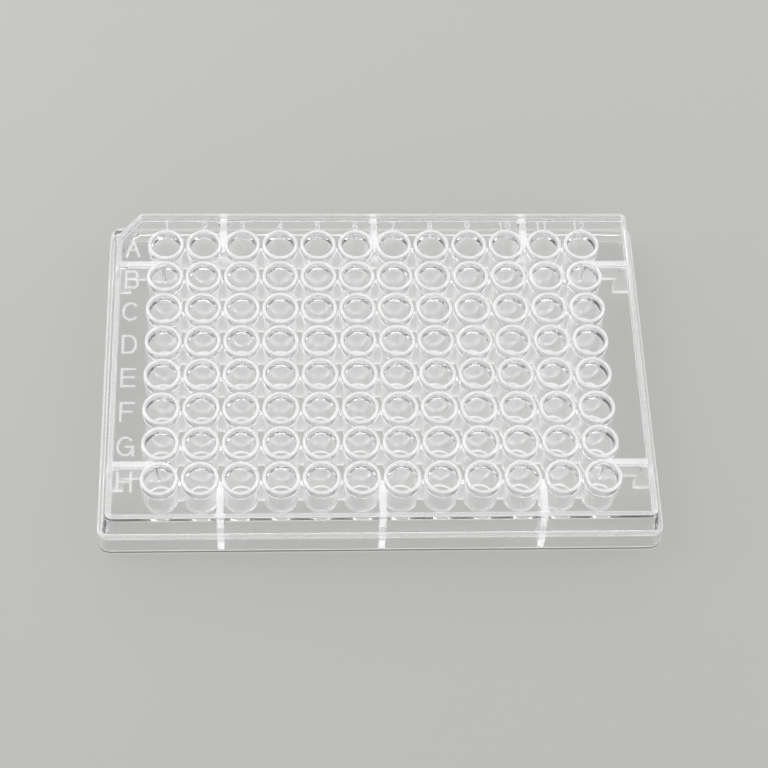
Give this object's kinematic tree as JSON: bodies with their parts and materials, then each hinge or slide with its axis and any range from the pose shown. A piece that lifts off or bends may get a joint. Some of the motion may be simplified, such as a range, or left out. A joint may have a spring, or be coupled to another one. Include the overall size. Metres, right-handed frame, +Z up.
{
  "type": "microplate",
  "caption": "Clear moulded well plate: a grid of round flat-bottomed wells with raised rims in a skirted frame with one cut corner, indexed by letters and numerals.",
  "frame": {"origin": "centre of the footprint, on the bench plane under the base flange", "axes": "+X along a row from column 1 to column 12, +Y towards row A, +Z up out of the wells"},
  "size_m": [0.1278, 0.0854, 0.0143],
  "materials": {
    "clear_polystyrene": "gloss"
  },
  "bodies": {
    "root": {"well_plate": "clear_polystyrene"}
  },
  "joints": []
}
